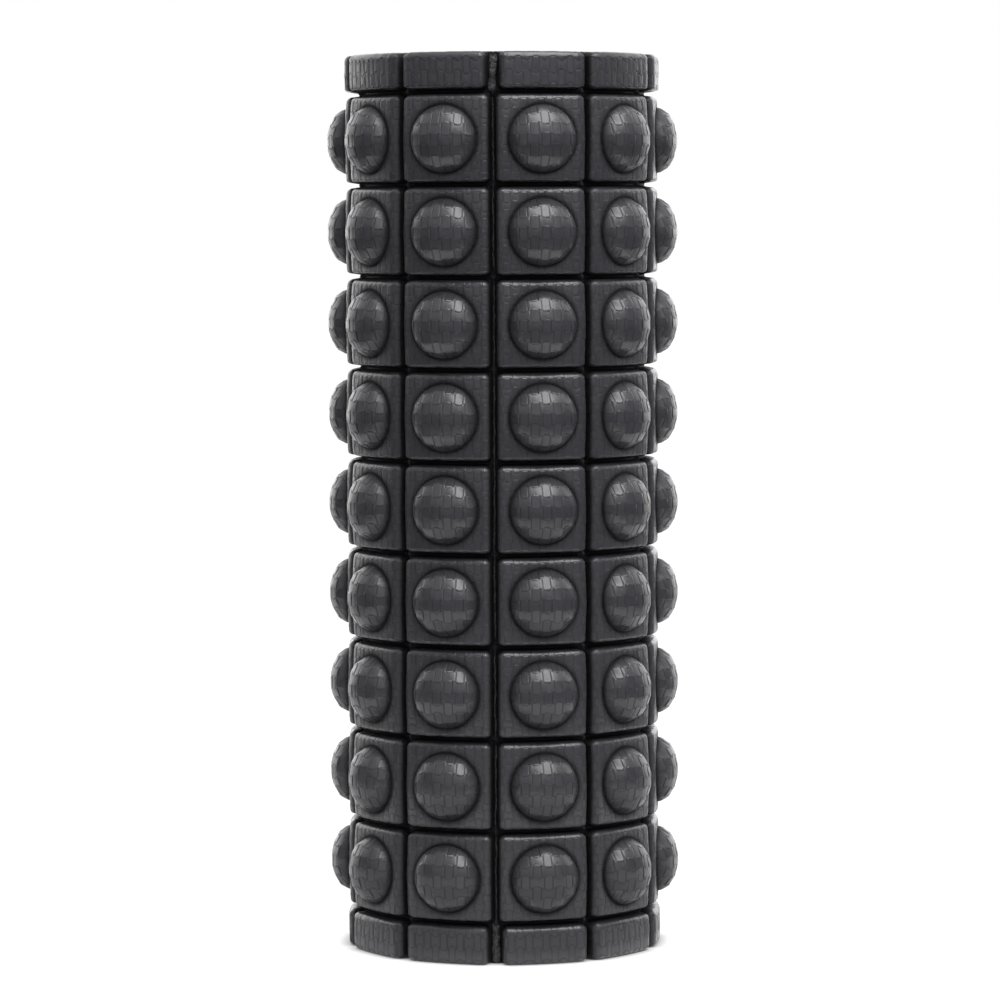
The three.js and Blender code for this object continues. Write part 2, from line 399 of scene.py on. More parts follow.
def weave_relief(cell, u, v, places, normal):
    """How far the weave lifts the skin: lines round ribbons that are flat and slightly tilted,
    so that they cut a stud's dome into facets."""
    middle_a, middle_b, from_a, from_b, line = weave_at(cell, u, v)
    tilt_a, tilt_b = chance(middle_a, middle_b, 1), chance(middle_a, middle_b, 2)
    relief = RIBBON_TILT * (tilt_a * from_a + tilt_b * from_b)
    domed = on_stud(cell, u, v)
    if cell.stud:
        u_middle, v_middle = unwoven(cell, middle_a, middle_b)
        flat_facet = facet_place(cell, u_middle, v_middle, from_a, from_b)
        above = ((flat_facet - places) * normal).sum(-1)
        faceted = domed & (np.hypot(u_middle, v_middle) < CREASE_RADIUS - FACET_MARGIN)
        relief = relief + np.where(faceted, FACET_FLATNESS * np.clip(above, 0, FACET_LIMIT), 0)
        relief = relief * smooth_step(np.abs(np.hypot(u, v) - CREASE_RADIUS) / CREASE_FADE)
    relief = relief * (1 - line) - np.where(domed, STUD_LINE_DEPTH, FACE_LINE_DEPTH) * line
    return relief * weave_share(np.minimum(*ways(cell, u, v)))


# How finely the skin is drawn
FILLET_WAY = 0.35
EDGE_RINGS = 5
RING_WAYS = [
    0.0, section.floor, FILLET_WAY, (section.floor + section.foot) / 2, section.foot, section.middle,
    *np.linspace(section.top, section.face, EDGE_RINGS), section.corner,
]
CORNER_SHARES = (0.07, 0.15, 0.28, 0.5, 0.75)
RING_STEP = 1.6
CREASE_RINGS = (-0.9, -0.45, -0.15, 0.15, 0.5, 1.0)
CREASE_SIDES = 84
OUTLINE_TURNS = 2

# The steps over which the skin's slope is taken, and what counts as one place
FACET_NUDGE = 0.05
NORMAL_NUDGE = 0.02
EDGE_TOLERANCE = 1e-6
MERGE_DISTANCE = 1e-4
BORDER_TOLERANCE = 1e-3


class Plan:
    """Points and lines in the flat that the triangles of a cell's skin have to keep."""

    def __init__(self):
        self.points, self.lines = [], []

    def add(self, points, closed=False, keep=None):
        numbers = []
        for point in points:
            kept = keep is None or keep(*point)
            numbers.append(len(self.points) if kept else None)
            if kept:
                self.points.append(point)
        count = len(points)
        for k in range(count if closed else count - 1):
            ends = numbers[k], numbers[(k + 1) % count]
            if None not in ends:
                self.lines.append(ends)


def stops_along(cell, axis, way):
    """The stops on one ring's straight side along an axis, closer together at its corners."""
    sides = slice(2 * axis, 2 * axis + 2)
    low, high = cell.reach[sides]
    shares = (0, *CORNER_SHARES) if way < section.corner else ()
    first = [max(way, start) for start in cell.starts[sides]]
    turns = [[s + f * (section.corner - s) for f in shares] for s in first]
    corner = max(way, section.corner)
    low_end, high_end = corner - low, high - corner
    count = max(2, math.ceil((high_end - low_end) / RING_STEP) + 1)
    return [
        *[turn - low for turn in turns[0]],
        *np.linspace(low_end, high_end, count),
        *[high - turn for turn in reversed(turns[1])],
    ]


def add_rings(plan, cell):
    def at(side, way):
        return (-1, 1)[side % 2] * (cell.reach[side] - way)

    for way in RING_WAYS:
        stops_u, stops_v = stops_along(cell, 0, way), stops_along(cell, 1, way)
        for side in range(4):
            if way >= cell.starts[side] and side < 2:
                plan.add([(at(side, way), v) for v in stops_v])
            elif way >= cell.starts[side]:
                plan.add([(u, at(side, way)) for u in stops_u])
    for side_u in (0, 1):
        for side_v in (2, 3):
            ring_ways = [way for way in RING_WAYS if way >= cell.starts[side_v]]
            plan.add([(at(side_u, way), at(side_v, way)) for way in ring_ways])


def ribbon_outline(middle, offset):
    """The points round an upright ribbon in the fabric, at an offset from its edge."""
    corner = RIBBON_CORNER + offset
    half = UPRIGHT_HALF_WIDTH + offset - corner, UPRIGHT_HALF_HEIGHT + offset - corner
    points = []
    for quarter in range(4):
        side_a = 1 if quarter in (0, 3) else -1
        side_b = 1 if quarter < 2 else -1
        for step in range(OUTLINE_TURNS + 1):
            turn = math.pi / 2 * (quarter + step / OUTLINE_TURNS)
            points.append((
                middle[0] + side_a * half[0] + corner * math.cos(turn),
                middle[1] + side_b * half[1] + corner * math.sin(turn),
            ))
    return points


def add_weave(plan, cell):
    """The edges of the upright ribbons, as the bottom of each line and both its brinks, and the
    pits between four ribbons."""
    def keep(u, v):
        return min(ways(cell, np.float64(u), np.float64(v))) > section.top - WEAVE_FADE

    def draw(points, closed=False):
        plan.add([unwoven(cell, *point) for point in points], closed, keep)

    stations = range(
        math.floor((cell.phase[0] + cell.low[0]) / HALF_PERIOD),
        math.ceil((cell.phase[0] + cell.high[0]) / HALF_PERIOD) + 1,
    )
    rows = range(
        math.floor((cell.phase[1] + cell.low[1] / cell.stretch) / PICK) - 1,
        math.ceil((cell.phase[1] + cell.high[1] / cell.stretch) / PICK) + 1,
    )
    for station in stations:
        for row in rows:
            if (station + row) % 2 == 0:
                middle = (station * HALF_PERIOD, (row + 0.5) * PICK)
                line_half = float(line_half_at(cell, *unwoven(cell, *middle)))
                for offset in (-line_half, 0, line_half):
                    draw(ribbon_outline(middle, offset), closed=True)
            pit = ((station + 0.5) * HALF_PERIOD, row * PICK)
            draw([pit])
            reach = PIT_RADIUS + float(line_half_at(cell, *unwoven(cell, *pit)))
            for step in range(PIT_SIDES):
                turn = 2 * math.pi * step / PIT_SIDES
                draw([(pit[0] + reach * math.cos(turn), pit[1] + reach * math.sin(turn))])


def add_crease(plan):
    turns = np.linspace(0, 2 * math.pi, CREASE_SIDES, endpoint=False)
    for offset in CREASE_RINGS:
        radius = CREASE_RADIUS + offset
        plan.add([(radius * math.cos(t), radius * math.sin(t)) for t in turns], closed=True)


def cavity_shade(cell, u, v):
    """How much painted shade each place gets for lying in a groove, a weave line or the crease
    round a stud: 0 to 1.
    """
    x, z, ring, inset_u, inset_v = flat_place(cell, u, v)
    groove = np.zeros_like(ring)
    for way, (dark, light) in zip(ways(cell, u, v), (UPRIGHT_GROOVE_DARK, LEVEL_GROOVE_DARK)):
        rise = np.interp(way, section.way, section.rise)
        groove = np.maximum(groove, 1 - smooth_step((rise - dark) / (light - dark)))
    groove = groove * (1 - PINCH_LIGHT * pinch(inset_u, inset_v) / PINCH_RISE)
    line = weave_at(cell, u, v)[-1] * weave_share(ring)
    crease = np.exp(-(((np.hypot(u, v) - CREASE_RADIUS) / CREASE_SHADE) ** 2)) if cell.stud else 0
    return 1 - (1 - groove) * (1 - LINE_DARK * line) * (1 - CREASE_DARK * crease)


def ripple(places, wavelength, seed):
    """A smooth, repeatable unevenness of places, from about -1 to 1."""
    maker = np.random.default_rng(seed)
    total = np.zeros(len(places))
    for _ in range(RIPPLE_WAVES):
        way = maker.normal(size=3)
        way *= 2 * math.pi / (np.linalg.norm(way) * wavelength * maker.uniform(*RIPPLE_LENGTHS))
        total += np.sin(places @ way + maker.uniform(0, 2 * math.pi))
    return total / math.sqrt(RIPPLE_WAVES)


def ripples(places, waves):
    return sum(height * ripple(places, wavelength, seed) for height, wavelength, seed in waves)


def cell_skin(cell):
    """The skin of one cell: its places, their u and v, its triangles and the painted shade of its
    cavities.
    """
    plan = Plan()
    add_rings(plan, cell)
    add_weave(plan, cell)
    if cell.stud:
        add_crease(plan)
    placed = np.array(plan.points)
    low, high = np.array(cell.low) - EDGE_TOLERANCE, np.array(cell.high) + EDGE_TOLERANCE
    inside = ((placed >= low) & (placed <= high)).all(1)
    order = np.cumsum(inside) - 1
    lines = [(order[i], order[j]) for i, j in plan.lines if inside[i] and inside[j]]
    made = delaunay_2d_cdt(placed[inside].tolist(), lines, [], 0, MERGE_DISTANCE, False)
    uv = np.array([tuple(point) for point in made[0]])
    triangles = np.array(made[2])
    u, v = uv[:, 0], uv[:, 1]
    normal = np.cross(*skin_steps(cell, u, v, NORMAL_NUDGE))
    normal /= np.maximum(np.linalg.norm(normal, axis=1), TINY)[:, None]
    places = skin_place(cell, u, v)
    relief = weave_relief(cell, u, v, places, normal) + ripples(places, FOAM_WAVES)
    return places + normal * relief[:, None], uv, triangles, cavity_shade(cell, u, v)


def border_points(uv, axis, value):
    """The points of a cell's border, in order along it."""
    found = np.nonzero(np.abs(uv[:, axis] - value) < BORDER_TOLERANCE)[0]
    return found[np.argsort(uv[found, 1 - axis])]


def row_cells(row):
    """The cells of one row, which is counted from the bottom."""
    plain = row in (0, LAST_ROW)
    bottom = 0 if row == 0 else BOTTOM_ROW_HEIGHT + (row - 1) * ROW_PITCH
    top = ROLLER_LENGTH + TOP_RISE if row == LAST_ROW else BOTTOM_ROW_HEIGHT + row * ROW_PITCH
    stretch = PLAIN_ROW_PICK / PICK if plain else 1.0
    phase = END_PHASES.get(row, STUD_PHASE)
    joint = "end_joint" if plain else "joint"
    cells = []
    for column in range(COLUMN_COUNT):
        at_left, at_right = column == 0, column == COLUMN_COUNT - 1
        left = column * COLUMN_PITCH + (JOINT_GAP / 2 if at_left else 0)
        right = (column + 1) * COLUMN_PITCH - (JOINT_GAP / 2 if at_right else 0)
        kinds = (
            joint if at_left else "side",
            joint if at_right else "side",
            "end" if row == 0 else "low",
            "end" if row == LAST_ROW else "high",
        )
        cells.append(make_cell((left, right, bottom, top), kinds, not plain, phase, stretch))
    return cells


class Solid:
    """Places and faces of one closed mesh, whose faces come in blocks of equal corner counts."""

    def __init__(self):
        self.places, self.count = [], 0
        self.faces, self.normals, self.uvs, self.slots = [], [], [], []

    def add_places(self, places):
        self.places.append(places)
        self.count += len(places)
        return np.arange(self.count - len(places), self.count)

    def add_faces(self, faces, normals, uvs, slot=0):
        self.faces.append(faces)
        self.normals.append(np.broadcast_to(normals, (*faces.shape, 3)))
        self.uvs.append(np.broadcast_to(uvs, (*faces.shape, 2)))
        self.slots.append(np.full(len(faces), slot))


def add_object(name, data):
    made = bpy.data.objects.new(name, data)
    bpy.context.scene.collection.objects.link(made)
    return made


def add_mesh(name, solid, materials, shades=None):
    """A Blender object from a solid, in metres, with its normals and its UV map."""
    mesh = bpy.data.meshes.new(name)
    places = np.concatenate(solid.places) * MM
    corners = np.concatenate([faces.ravel() for faces in solid.faces])
    sizes = np.concatenate([np.full(len(faces), faces.shape[1]) for faces in solid.faces])
    mesh.vertices.add(len(places))
    mesh.vertices.foreach_set("co", places.ravel().astype(np.float32))
    mesh.loops.add(len(corners))
    mesh.loops.foreach_set("vertex_index", corners.astype(np.int32))
    mesh.polygons.add(len(sizes))
    starts = np.concatenate([[0], np.cumsum(sizes)[:-1]])
    mesh.polygons.foreach_set("loop_start", starts.astype(np.int32))
    mesh.polygons.foreach_set("material_index", np.concatenate(solid.slots).astype(np.int32))
    mesh.update(calc_edges=True)
    uv_layer = mesh.uv_layers.new(name="OFBake")
    uvs = np.concatenate([uv.reshape(-1, 2) for uv in solid.uvs])
    uv_layer.data.foreach_set("uv", uvs.ravel().astype(np.float32))
    # The painted cavity shade of each place, which the foam's material reads
    if shades is not None:
        layer = mesh.attributes.new("cavity_shade", "FLOAT", "POINT")
        layer.data.foreach_set("value", shades.astype(np.float32))
    mesh.shade_smooth()
    normals = np.concatenate([normal.reshape(-1, 3) for normal in solid.normals])
    mesh.normals_split_custom_set(normals.astype(np.float32))
    for material in materials:
        mesh.materials.append(material)
    return add_object(name, mesh)


def corner_normals(places, triangles):
    """A normal for each place, from the faces round it by their areas."""
    a, b, c = (places[triangles[:, k]] for k in range(3))
    face = np.cross(b - a, c - a)
    total = np.zeros_like(places)
    for k in range(3):
        for axis in range(3):
            total[:, axis] += np.bincount(triangles[:, k], face[:, axis], len(places))
    return total / np.maximum(np.linalg.norm(total, axis=1), TINY)[:, None]


# The UV map of a row: the skins of its cells in a grid at the top, the rest below, with the back
# and the glued edges on the right. The last pair is in parts of the map's side.
UV_COLUMNS = 4
UV_MARGIN = 1.5
UV_RIGHT = 2 * FLOOR_RADIUS + 4 * UV_MARGIN
EDGE_UV_START = 25
EDGE_UV_STEP = 15
HIDDEN_UV_SCALE = 0.1
BACK_UV = (0.02, 0.1)


def row_skin(solid, cells):
    """Adds the skins of a row's cells, joined at their borders. Gives the lines of places along
    its bottom, its top and its glued edges, the UV map's side and the painted shade of its cavities."""
    places, triangles, uvs, shades = [], [], [], []
    bottom, top, edges, count = [], [], [], 0
    wide = max(cell.high[0] - cell.low[0] for cell in cells) + UV_MARGIN
    tall = cells[0].high[1] - cells[0].low[1] + UV_MARGIN
    side = UV_COLUMNS * wide
    for column, cell in enumerate(cells):
        cell_places, uv, cell_triangles, shade = cell_skin(cell)
        left, right = (border_points(uv, 0, value) for value in (cell.low[0], cell.high[0]))
        own = np.ones(len(uv), bool)
        own[left] = column == 0
        number = np.cumsum(own) - 1 + count
        if column == 0:
            edges.append(number[left])
        number[left] = edges[-1]
        edges.append(number[right])
        first = min(column, 1)
        bottom.extend(number[border_points(uv, 1, cell.low[1])][first:])
        top.extend(number[border_points(uv, 1, cell.high[1])][first:])
        places.append(cell_places[own])
        shades.append(shade[own])
        triangles.append(number[cell_triangles])
        corner = np.array([column % UV_COLUMNS * wide, side - (column // UV_COLUMNS + 1) * tall])
        uvs.append((uv - cell.low + UV_MARGIN / 2 + corner)[cell_triangles] / side)
        count += len(places[-1])
    places, triangles = np.concatenate(places), np.concatenate(triangles)
    solid.add_places(places)
    solid.add_faces(triangles, corner_normals(places, triangles)[triangles], np.concatenate(uvs))
    return np.array(bottom), np.array(top), (edges[0], edges[-1]), side, np.concatenate(shades)


# The material of the faces that aren't skin, and how far the ring at the rim of the roller's ends
# lies under the grooves' floor
CUT = 1
RIM_DROP = 0.02


def turns_of(places):
    return np.unwrap(np.arctan2(places[:, 1], places[:, 0]))


def bridge(low, high, low_turns, high_turns):
    """The triangles between two lines of places that run side by side."""
    triangles, i, j = [], 0, 0
    while i < len(low) - 1 or j < len(high) - 1:
        low_goes_on, high_goes_on = i < len(low) - 1, j < len(high) - 1
        if not high_goes_on or (low_goes_on and low_turns[i + 1] <= high_turns[j + 1]):
            triangles.append((low[i], high[j], low[i + 1]))
            i += 1
        else:
            triangles.append((low[i], high[j], high[j + 1]))
            j += 1
    return np.array(triangles)


def close_end(solid, line, z, is_low, is_seen, uv_side):
    """Adds the flat face from a line of the skin in to the back, and gives the back's line."""
    angle = turns_of(solid.places[0][line])
    levels = [line]
    for radius in (FLOOR_RADIUS - RIM_DROP, BACK_RADIUS)[0 if is_seen else 1:]:
        levels.append(solid.add_places(polar(radius, angle, z)))
    placed = np.concatenate(solid.places)
    for outer, inner in zip(levels, levels[1:]):
        quads = np.stack([outer[:-1], inner[:-1], inner[1:], outer[1:]], -1)
        quads = quads if is_low else quads[:, ::-1]
        uvs = (placed[quads][..., :2] + FLOOR_RADIUS + 2 * UV_MARGIN) / uv_side
        if not is_seen:
            uvs = uvs * HIDDEN_UV_SCALE
        solid.add_faces(quads, np.array([0, 0, -1.0 if is_low else 1.0]), uvs, CUT)
    return levels[-1]


def close_back(solid, backs, uv_side):
    placed = np.concatenate(solid.places)
    turns = [turns_of(placed[line]) for line in backs]
    triangles = bridge(*backs, *turns)
    inward = placed[triangles] * [-1 / BACK_RADIUS, -1 / BACK_RADIUS, 0]
    share = np.zeros(len(placed))
    for line, turn in zip(backs, turns):
        share[line] = (turn - turn[0]) / (turn[-1] - turn[0])
    back_u = (UV_RIGHT + share[triangles] * (uv_side - UV_RIGHT - UV_MARGIN)) / uv_side
    back_v = np.where(np.isin(triangles, backs[0]), *BACK_UV)
    solid.add_faces(triangles, inward, np.stack([back_u, back_v], -1), CUT)


def close_glued_edges(solid, edges, backs, floor, uv_side):
    placed = np.concatenate(solid.places)
    for edge, at in zip(edges, (0, -1)):
        flip = at == -1
        ring = np.array([*edge, backs[1][at], backs[0][at]])[None, :]
        ring = ring[:, ::-1] if flip else ring
        points = placed[ring[0]]
        radial = np.hypot(points[:, 0], points[:, 1])
        turn = math.atan2(points[0, 1], points[0, 0])
        outward = np.array([math.sin(turn), -math.cos(turn), 0]) * (-1 if flip else 1)
        edge_u = UV_RIGHT + radial - BACK_RADIUS + (EDGE_UV_STEP if flip else 0)
        uvs = np.stack([edge_u, EDGE_UV_START + points[:, 2] - floor], -1)
        solid.add_faces(ring, outward, uvs[None] / uv_side, CUT)


def mat_row(row, cells):
    """The closed solid of one row, and the painted cavity shade at each of its places."""
    solid = Solid()
    bottom, top, edges, uv_side, shades = row_skin(solid, cells)
    floor, ceiling = cells[0].floor, cells[0].ceiling
    backs = [
        close_end(solid, bottom, floor, True, row == 0, uv_side),
        close_end(solid, top, ceiling, False, row == LAST_ROW, uv_side),
    ]
    close_back(solid, backs, uv_side)
    close_glued_edges(solid, edges, backs, floor, uv_side)
    return solid, np.concatenate([shades, np.ones(solid.count - len(shades))])


def grid_quads(rows, columns, closed):
    """The quads of a grid whose columns go round, as its rows do if it is closed."""
    row = np.arange(rows if closed else rows - 1)[:, None]
    column = np.arange(columns)[None, :]
    next_row, next_column = (row + 1) % rows, (column + 1) % columns
    corners = ((row, column), (next_row, column), (next_row, next_column), (row, next_column))
    return np.stack([i * columns + j for i, j in corners], -1).reshape(-1, 4)


def quad_uvs(left, right, low, high):
    corners = ((left, low), (right, low), (right, high), (left, high))
    return np.stack([np.stack(np.broadcast_arrays(*at), -1) for at in corners], -2).reshape(-1, 4, 2)


def quad_normals(places, quads):
    triangles = np.concatenate([quads[:, [0, 1, 2]], quads[:, [0, 2, 3]]])
    return corner_normals(places, triangles)[quads]


# The tube: a lathed ring with rounded rims and faint lines that its die drew along it
TUBE_SIDES = 288
RIM_RADIUS = 0.55
RIM_STEPS = 5
DIE_LINE = 0.025
DIE_SEED = 5
DIE_SOFTENING = (0.25, 0.5, 0.25)


def tube_profile():
    """Radius and height round the wall's section, from its lower inner rim."""
    inner, outer = TUBE_RADIUS - TUBE_WALL + RIM_RADIUS, TUBE_RADIUS - RIM_RADIUS
    low, high = RIM_RADIUS, ROLLER_LENGTH - RIM_RADIUS
    profile = []
    for k, (r, z) in enumerate(((inner, low), (outer, low), (outer, high), (inner, high))):
        for turn in math.pi * (1 + k / 2) + np.linspace(0, math.pi / 2, RIM_STEPS):
            profile.append((r + RIM_RADIUS * math.cos(turn), z + RIM_RADIUS * math.sin(turn)))
    return np.array(profile)


def lathe(profile):
    """The closed solid that a closed profile sweeps round the axis."""
    solid = Solid()
    count = len(profile)
    turn = np.arange(TUBE_SIDES)[:, None]
    maker = np.random.default_rng(DIE_SEED)
    rough = maker.normal(size=TUBE_SIDES + len(DIE_SOFTENING) - 1)
    die = np.convolve(rough, DIE_SOFTENING, "valid")
    radius = profile[:, 0] + DIE_LINE * die[:, None]
    places = polar(radius, turn * 2 * math.pi / TUBE_SIDES, profile[:, 1]).reshape(-1, 3)
    solid.add_places(places)
    quads = grid_quads(TUBE_SIDES, count, closed=True)
    around = way_along(*np.array([*profile, profile[0]]).T)
    around = around / around[-1]
    left = turn / TUBE_SIDES
    uvs = quad_uvs(left, left + 1 / TUBE_SIDES, around[:-1], around[1:])
    solid.add_faces(quads, quad_normals(places, quads), uvs)
    return solid


# The cured adhesive in the joint's groove: a thin line between the studs, a rough ridge at the
# ends. Its two measures are the size between the studs, what the end rows add, the same two for
# the height of a ripple, and the ripple's length and seed.
BEAD_STEP = 0.3
BEAD_TURNS = 16
BEAD_END_GAP = 0.5
BEAD_SINK = 0.04
BEAD_SQUARENESS = 0.8
BEAD_FOOT = 0.05
BEAD_HALF_WIDTH = (0.25, 1.15, 0.06, 0.15, 4, 13)
BEAD_RISE = (0.22, 0.9, 0.06, 0.25, 3, 14)
SWAY_WAVES = ((0.16, 9, 11), (0.08, 2.5, 12))
LUMP_WAVES = ((0.1, 1.7, 15), (0.07, 0.8, 16))
LEAST_LUMPS = 0.5
END_ROW_BLEND = 3.0

# The bead's UV map: strips side by side with a gap between, and its caps in a corner
BEAD_STRIPS = 6
STRIP_TURNS = BEAD_TURNS + 2
BEAD_UV_MARGIN = 0.01
CAP_UV_START = 0.001
CAP_UV_SIZE = 0.004


def end_row_share(z):
    """1 in the roller's end rows, 0 between the studs."""
    low = smooth_step((BOTTOM_ROW_HEIGHT + END_ROW_BLEND / 2 - z) / END_ROW_BLEND)
    high = smooth_step((z - ROLLER_LENGTH + TOP_ROW_HEIGHT + END_ROW_BLEND / 2) / END_ROW_BLEND)
    return low + high


def varied(measure, share, line):
    plain, more, change, more_change, length, seed = measure
    return plain + more * share + (change + more_change * share) * ripple(line, length, seed)


def bead_places(heights):
    """The bead's section at each height, from foot to foot."""
    share = end_row_share(heights)
    line = np.stack([0 * heights, 0 * heights, heights], -1)
    sway = ripples(line, SWAY_WAVES)
    half_width, rise = (varied(measure, share, line) for measure in (BEAD_HALF_WIDTH, BEAD_RISE))
    turns = np.linspace(0, math.pi, BEAD_TURNS)
    x = sway[:, None] - half_width[:, None] * np.cos(turns)
    z = np.broadcast_to(heights[:, None], x.shape)
    lift = rise[:, None] * np.sin(turns) ** BEAD_SQUARENESS
    lumps = ripples(np.stack([x, lift, z], -1).reshape(-1, 3), LUMP_WAVES).reshape(x.shape)
    inside = np.sin(turns)[None, :] > BEAD_FOOT
    lift = lift + np.where(inside, lumps * (LEAST_LUMPS + share[:, None]), 0)
    return np.stack([x, -(FLOOR_RADIUS + BEAD_SINK + np.maximum(lift, 0)), z], -1).reshape(-1, 3)


def bead_uvs(heights):
    share_up = heights / ROLLER_LENGTH * BEAD_STRIPS
    low, high = share_up[:-1, None], share_up[1:, None]
    strip = np.floor((low + high) / 2)
    left = (strip + np.arange(BEAD_TURNS)[None, :] / STRIP_TURNS) / BEAD_STRIPS
    uvs = quad_uvs(left, left + 1 / STRIP_TURNS / BEAD_STRIPS, low - strip, high - strip)
    return uvs * (1 - 2 * BEAD_UV_MARGIN) + BEAD_UV_MARGIN


def cap_uvs(places):
    flat = places[:, :2] - places[:, :2].min(0)
    return CAP_UV_START + CAP_UV_SIZE * flat / np.maximum(flat.max(0), TINY)


def bead_solid():
    count = round((ROLLER_LENGTH - 2 * BEAD_END_GAP) / BEAD_STEP)
    heights = np.linspace(BEAD_END_GAP, ROLLER_LENGTH - BEAD_END_GAP, count)
    places = bead_places(heights)
    solid = Solid()
    solid.add_places(places)
    quads = grid_quads(count, BEAD_TURNS, closed=False)[:, [0, 3, 2, 1]]
    solid.add_faces(quads, quad_normals(places, quads), bead_uvs(heights))
    cap = np.arange(BEAD_TURNS)
    for ring, way in ((cap[::-1], -1.0), (cap + (count - 1) * BEAD_TURNS, 1.0)):
        solid.add_faces(ring[None, :], np.array([0, 0, way]), cap_uvs(places[ring])[None])
    return solid


WHITE = (1, 1, 1, 1)

# The middle range of a noise, where most of its values lie
NOISE_RANGE = {"From Min": 0.35, "From Max": 0.65}


class Nodes:
    """Adds nodes to one tree. An input is given as a value, or as the output that feeds it."""

    def __init__(self, tree):
        self.tree = tree

    def fill(self, node, inputs):
        for key, value in inputs.items():
            if isinstance(value, bpy.types.NodeSocket):
                self.tree.links.new(value, node.inputs[key])
            else:
                node.inputs[key].default_value = value

    def add(self, kind, inputs=None, **settings):
        node = self.tree.nodes.new("ShaderNode" + kind)
        for key, value in settings.items():
            setattr(node, key, value)
        self.fill(node, inputs or {})
        return node

    def place(self):
        return self.add("TexCoord").outputs["Object"]

    def noise(self, scale, detail, roughness, seed=0.0):
        """Noise in the roller's own space, with its scale in features per metre."""
        inputs = {"Scale": scale, "Detail": detail, "Roughness": roughness, "W": seed}
        inputs["Vector"] = self.place()
        return self.add("TexNoise", inputs, noise_dimensions="4D").outputs["Fac"]

    def spread(self, noise, low, high):
        """A map of a noise's middle range onto low to high."""
        inputs = {"Value": noise, "To Min": low, "To Max": high, **NOISE_RANGE}
        return self.add("MapRange", inputs).outputs["Result"]

    def blend(self, share, first, second):
        inputs = {0: share, 6: (*first, 1), 7: (*second, 1)}
        return self.add("Mix", inputs, data_type="RGBA").outputs[2]

    def mix(self, share, first, second):
        inputs = {"Factor": share, "A": first, "B": second}
        return self.add("Mix", inputs, data_type="FLOAT").outputs["Result"]

    def bump(self, height, distance, strength, **under):
        inputs = {"Height": height, "Distance": distance, "Strength": strength, **under}
        return self.add("Bump", inputs).outputs["Normal"]

    def calc(self, operation, *values):
        inputs = dict(enumerate(values))
        return self.add("Math", inputs, operation=operation).outputs[0]


def node_material(name):
    material = bpy.data.materials.new(name)
    material.use_nodes = True
    shader = next(node for node in material.node_tree.nodes if node.type == "BSDF_PRINCIPLED")
    return material, shader, Nodes(material.node_tree)


def skin_foam():
    """The moulded skin of the foam: satin, with a fine orange peel and slight mottling. In its
    cavities it is rougher, and painted shade makes it darker and less glossy there."""
    material, shader, nodes = node_material("foam_skin")
    mottle = nodes.spread(nodes.noise(320, 4, 0.6), 0, 1)
    skin = nodes.blend(mottle, (0.0184, 0.0179, 0.0222), (0.0236, 0.0229, 0.0284))
    # Painted shade: the cavity shade darkens the colour and dims the gloss in grooves, weave lines
    # and creases
    shade_amount = nodes.add("Attribute", attribute_name="cavity_shade").outputs["Fac"]
    darker = nodes.blend(shade_amount, (1, 1, 1), (0.17, 0.17, 0.17))
    both = {0: 1, 6: skin, 7: darker}
    shaded = nodes.add("Mix", both, data_type="RGBA", blend_type="MULTIPLY").outputs[2]
    satin = nodes.spread(nodes.noise(900, 3, 0.6, 2.0), 0.28, 0.36)
    peel = nodes.bump(nodes.noise(1400, 3, 0.55, 4.0), 0.00006, 0.6)
    nodes.fill(shader, {
        "Base Color": shaded,
        "Roughness": nodes.mix(shade_amount, satin, 0.85),
        "Normal": nodes.bump(nodes.noise(260, 2, 0.5, 7.0), 0.0003, 0.35, Normal=peel),
        "Specular IOR Level": nodes.mix(shade_amount, 0.5, 0.15),
        "Coat Weight": nodes.mix(shade_amount, 0.08, 0.04),
        "Coat Roughness": 0.1,
    })
    return material


def cut_foam():
    """Foam where it was cut: matt, with the fine cells of the foam open."""
    material, shader, nodes = node_material("foam_cut")
    cells = nodes.add("TexVoronoi", {"Vector": nodes.place(), "Scale": 1700})
    mottle = nodes.spread(nodes.noise(900, 4, 0.6), 0, 1)
    nodes.fill(shader, {
        "Base Color": nodes.blend(mottle, (0.022, 0.022, 0.024), (0.034, 0.033, 0.036)),
        "Roughness": nodes.spread(nodes.noise(2600, 2, 0.5, 1.0), 0.72, 0.88),
        "Normal": nodes.bump(cells.outputs["Distance"], 0.0004, 0.7),
        "Specular IOR Level": 0.4,
    })
    return material


def tube_plastic():
    """Extruded plastic: satin, drawn along the tube by its die."""
    material, shader, nodes = node_material("tube_plastic")
    drawn = nodes.add("Mapping", {"Vector": nodes.place(), "Scale": (1, 1, 0.02)})
    inputs = {"Vector": drawn.outputs["Vector"], "Scale": 900, "Detail": 3}
    lines = nodes.add("TexNoise", inputs).outputs["Fac"]
    shade = nodes.spread(lines, 0, 1)
    nodes.fill(shader, {
        "Base Color": nodes.blend(shade, (0.016, 0.016, 0.018), (0.021, 0.021, 0.023)),
        "Roughness": nodes.spread(lines, 0.34, 0.46),
        "Normal": nodes.bump(lines, 0.0002, 0.5),
    })
    return material


def adhesive():
    """Cured contact adhesive: dark and rough, with paler dusty specks."""
    material, shader, nodes = node_material("joint_adhesive")
    specks = nodes.spread(nodes.noise(1500, 4, 0.7, 3.0), 0, 1)
    nodes.fill(shader, {
        "Base Color": nodes.blend(specks, (0.012, 0.012, 0.013), (0.05, 0.049, 0.051)),
        "Roughness": nodes.spread(nodes.noise(1100, 3, 0.6, 5.0), 0.5, 0.8),
        "Normal": nodes.bump(nodes.noise(1300, 4, 0.65, 6.0), 0.0005, 0.8),
    })
    return material


foam = [skin_foam(), cut_foam()]
for row_number in range(LAST_ROW + 1):
    row_solid, row_shades = mat_row(row_number, row_cells(row_number))
    piece = add_mesh(f"mat_row_{row_number + 1:02d}", row_solid, foam, row_shades)
    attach(piece, "root")
    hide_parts("foam_mat")

tube = add_mesh("tube_wall", lathe(tube_profile()), [tube_plastic()])
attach(tube, "root")
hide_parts("core_tube")

bead = add_mesh("joint_adhesive_bead", bead_solid(), [adhesive()])
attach(bead, "root")
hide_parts("joint_bead")


